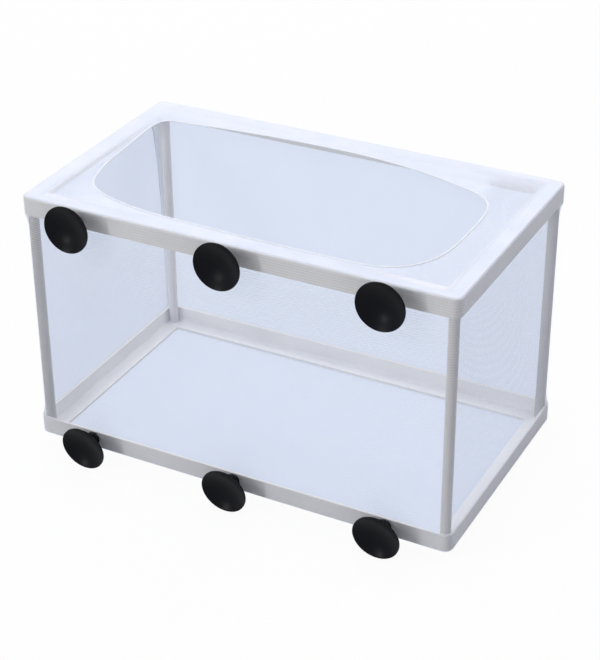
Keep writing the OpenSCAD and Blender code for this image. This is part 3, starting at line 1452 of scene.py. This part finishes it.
@dataclass(frozen=True)
class Lamp:
    """A square soft lamp that faces the box.

    Its turn is measured from the front towards the right and its rise from the ground, both in
    degrees, its distance and its side in metres, and its power in watts.
    """

    name: str
    turn: float
    rise: float
    away: float
    side: float
    power: float
    colour: Triple
    aim: Triple = (0.0, 0.0, 0.08)

    def hang(self) -> None:
        """Puts the lamp in the scene."""
        data = bpy.data.lights.new(self.name, "AREA")
        data.shape = "SQUARE"
        data.size = self.side
        data.energy = self.power
        data.color = self.colour
        course = direction(self.turn, self.rise)
        facing = course.to_track_quat("Z", "Y").to_matrix().to_4x4()
        place = Vector(self.aim) + course * self.away
        add_object(self.name, data).matrix_world = Matrix.Translation(place) @ facing


@dataclass
class Studio:
    """Camera, lamps and the pale floor that the box stands on."""

    eye: Triple = (0.4168, -0.79375, 0.5896)
    azimuth: float = 29.0
    elevation: float = 29.65
    roll: float = -1.10
    lens: float = 97.09
    sensor: float = 36.0
    shift: Pair = (40 / 660, -20 / 660)
    clip: Pair = (0.01, 50.0)
    floor_y: Pair = (-0.0871, 0.0764)
    floor_z: Pair = (-0.0076, -0.0002)
    floor_r: float = 4.0
    floor_steps: int = 64
    floor_colour: Triple = (0.80, 0.80, 0.80)
    floor_glow: float = 0.95
    # painted shade: the backdrop's darker blue where it is seen through the net
    shade_behind_net: Triple = (0.76, 0.83, 0.98)
    ambient: Triple = (0.21, 0.21, 0.21)
    lamps: tuple[Lamp, ...] = (
        Lamp("front_left", -34.0, 33.0, 4.0, 1.1, 41.0, (1.0, 0.985, 0.96)),
        Lamp("front_low", -25.0, 4.0, 4.0, 0.32, 19.0, (1.0, 0.99, 0.97)),
        Lamp("back_left", -135.0, 40.0, 2.0, 1.2, 15.0, (1.0, 1.0, 0.98)),
        Lamp("back_right", 135.0, 40.0, 2.0, 1.2, 12.0, (1.0, 0.94, 0.86)),
        Lamp("overhead", -30.0, 85.0, 2.0, 1.2, 16.0, (0.83, 0.90, 1.0)),
    )

    def camera(self) -> None:
        """Sets the camera at the photograph's place."""
        az, roll = math.radians(self.azimuth), math.radians(self.roll)
        back = direction(self.azimuth, self.elevation)
        right = Vector((math.cos(az), math.sin(az), 0.0))
        up = back.cross(right)
        turned = math.cos(roll) * right + math.sin(roll) * up
        top = math.cos(roll) * up - math.sin(roll) * right
        data = bpy.data.cameras.new("photo_camera")
        data.sensor_fit = "AUTO"
        data.sensor_width = self.sensor
        data.lens = self.lens
        data.shift_x, data.shift_y = self.shift
        data.clip_start, data.clip_end = self.clip
        made = add_object("photo_camera", data)
        rows = Matrix((turned, top, back)).transposed()
        made.matrix_world = Matrix.Translation(self.eye) @ rows.to_4x4()
        bpy.context.scene.camera = made

    def _behind(self, tree: NodeMaker) -> tuple[Num, Socket]:
        """Where a ray sees the backdrop, and the backdrop's colour there.

        Args:
            tree: The floor's or the world's nodes.

        Returns:
            1 for a ray that sees the backdrop, and the colour: white, and a darker blue behind
            net, which is painted shade.
        """
        path = tree.add("ShaderNodeLightPath").outputs
        seen = Num(tree, path["Is Camera Ray"])
        for kind in ("Is Glossy Ray", "Is Transmission Ray"):
            seen = seen.larger(path[kind])
        veiled = Num(tree, path["Transparent Depth"]) > 0.5  # at least one layer of net
        # painted shade: the backdrop is darker and bluer behind the net
        return seen, tree.mix(veiled, WHITE, self.shade_behind_net)

    def stage(self) -> None:
        """Makes the floor, tilted as the box stands on its lower cups and its back edge."""
        rise = (self.floor_z[1] - self.floor_z[0]) / (self.floor_y[1] - self.floor_y[0])
        points = [(0.0, 0.0)]
        for k in range(self.floor_steps):
            turn = 2 * math.pi * k / self.floor_steps
            points.append((self.floor_r * math.cos(turn), self.floor_r * math.sin(turn)))
        vertices = [(x, y, self.floor_z[0] + rise * (y - self.floor_y[0])) for x, y in points]
        faces = [(0, 1 + k, 1 + (k + 1) % self.floor_steps) for k in range(self.floor_steps)]
        mesh = bpy.data.meshes.new("studio_floor")
        mesh.from_pydata(vertices, [], faces)
        material, tree = NodeMaker.material("studio_floor")
        diffuse = tree.add("ShaderNodeBsdfDiffuse", {"Color": self.floor_colour})
        seen, colour = self._behind(tree)
        glow = tree.add("ShaderNodeEmission", {"Color": colour, "Strength": 1.0})
        layers = {0: seen * self.floor_glow, 1: diffuse.outputs[0], 2: glow.outputs[0]}
        tree.surface(tree.add("ShaderNodeMixShader", layers))
        mesh.materials.append(material)
        add_object("studio_floor", mesh)

    def world(self) -> None:
        """Soft light from all round, with a white background for the camera."""
        world = bpy.data.worlds.new("studio_world")
        world.use_nodes = True
        tree = NodeMaker(world.node_tree)
        seen, colour = self._behind(tree)
        light = tree.mix(seen, self.ambient, colour)
        background = tree.add("ShaderNodeBackground", {"Color": light, "Strength": 1.0})
        tree.add("ShaderNodeOutputWorld", {"Surface": background.outputs[0]})
        bpy.context.scene.world = world

    def build(self) -> None:
        """Sets up the whole studio."""
        self.camera()
        self.stage()
        self.world()
        for lamp in self.lamps:
            lamp.hang()
        bpy.context.scene.view_settings.view_transform = "Standard"


# Assembly


def ride_with(piece: bpy.types.Object, slot: str, *nodes: str) -> bpy.types.Object:
    """Puts a piece on the frame's body and logs it.

    Args:
        piece: The piece.
        slot: Not used.
        nodes: Construction nodes that it stands for.

    Returns:
        The piece.
    """
    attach(piece, "frame")
    if nodes:
        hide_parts(*nodes)
    LOG.info("%s: %d faces", piece.name, len(piece.data.polygons))
    return piece


def main() -> None:
    """Builds the box's looks in order."""
    logging.basicConfig(level=logging.INFO, format="%(message)s")
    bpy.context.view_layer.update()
    sizes = BoxSizes()
    Studio().build()
    RigidFrame().dress()
    SuctionCups().dress()
    hem = OpeningHem(sizes)
    bag = NetBag(sizes, hem)
    seam = CornerSeam(sizes)
    net = KnittedNet("net_walls").make()
    top_net = KnittedNet(
        "net_gathered_top", WHITE, (0.63, 0.69, 0.945), swell=0.25, speckle=1.9
    ).make()
    folded = FoldedNet("net_folded").make()
    turned = FoldedNet(
        "net_hem", (0.96, 0.97, 1.0), (0.82, 0.85, 0.98), closed=0.7, least=0.8
    ).make()
    thread = SewingThread("sewing_thread_white").make()
    cord = CoveredElastic("elastic_cover_white").make()

    flap = ride_with(seam.flap(folded), "net", "corner_seam")
    for name, from_edge in (("edge", 0.18), ("post", 0.7)):
        row = StitchRow(
            f"seam_stitches_{name}", spacing=2.2 * MM, length=1.7 * MM, thread_r=0.14 * MM
        )
        ride_with(row.sew(seam.line(from_edge), thread), "net")
    sleeve = ride_with(
        bag.sleeve(net), "net", "net_front", "net_back", "net_left", "net_right"
    )
    band = ride_with(hem.band(turned), "net", "opening_hem")
    elastic = ride_with(hem.elastic(cord), "elastic", "opening_elastic")
    row = StitchRow("hem_stitches", spacing=1.8 * MM, length=1.5 * MM, thread_r=0.12 * MM)
    hem_row = ride_with(row.sew(hem.line(away=1.0 * MM, rise=0.12 * MM), thread), "net")
    top = ride_with(bag.top_panel(top_net), "net", "net_top")
    floor = ride_with(bag.floor_panel(net), "net", "net_floor")


if __name__ == "__main__":
    main()
